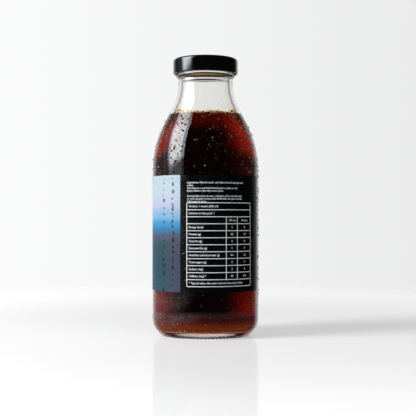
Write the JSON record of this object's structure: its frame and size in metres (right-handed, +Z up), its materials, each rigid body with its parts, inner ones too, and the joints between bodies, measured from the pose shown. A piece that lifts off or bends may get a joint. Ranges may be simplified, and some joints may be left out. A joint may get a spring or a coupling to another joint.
{
  "type": "glass drinks bottle with twist-off lug cap",
  "caption": "Small clear glass drinks bottle with a black twist-off lug cap, a sealing ring, a wrap-round label and a dark drink with froth.",
  "frame": {"origin": "centre of the base, on the plane the bottle stands on", "axes": "+Z up along the bottle's axis; -Y is the front seen in the picture, +X its right-hand side"},
  "size_m": [0.0604, 0.0604, 0.157],
  "materials": {
    "clear_glass": "clear flint glass, smooth, with droplets of condensation",
    "black_enamel": "black enamelled tinplate, glossy, gold lacquer inside",
    "sealing_compound": "off-white plastisol sealing compound, satin",
    "label_film": "printed film, black information panel and a blue gradient panel, satin",
    "coffee": "dark red-brown clear liquid",
    "froth": "fine tan bubbles"
  },
  "bodies": {
    "bottle": {"bottle_glass": "clear_glass", "wrap_label": "label_film", "drink": "coffee", "froth_ring": "froth"},
    "cap_seal": {"cap_liner": "sealing_compound"},
    "cap": {"cap_shell": "black_enamel"}
  },
  "joints": [
    {"name": "cap_lift", "type": "slide", "parent": "bottle", "child": "cap_seal", "axis": [0, 0, 1], "range_m": [0, 0.012]},
    {"name": "cap_twist", "type": "hinge", "parent": "cap_seal", "child": "cap", "pos_m": [0, 0, 0.1482], "axis": [0, 0, 1], "range_deg": [0, 360]}
  ],
  "couplings": [
    {"joint": "cap_lift", "follows": "cap_twist", "m_per_rad": 0.0019099}
  ]
}
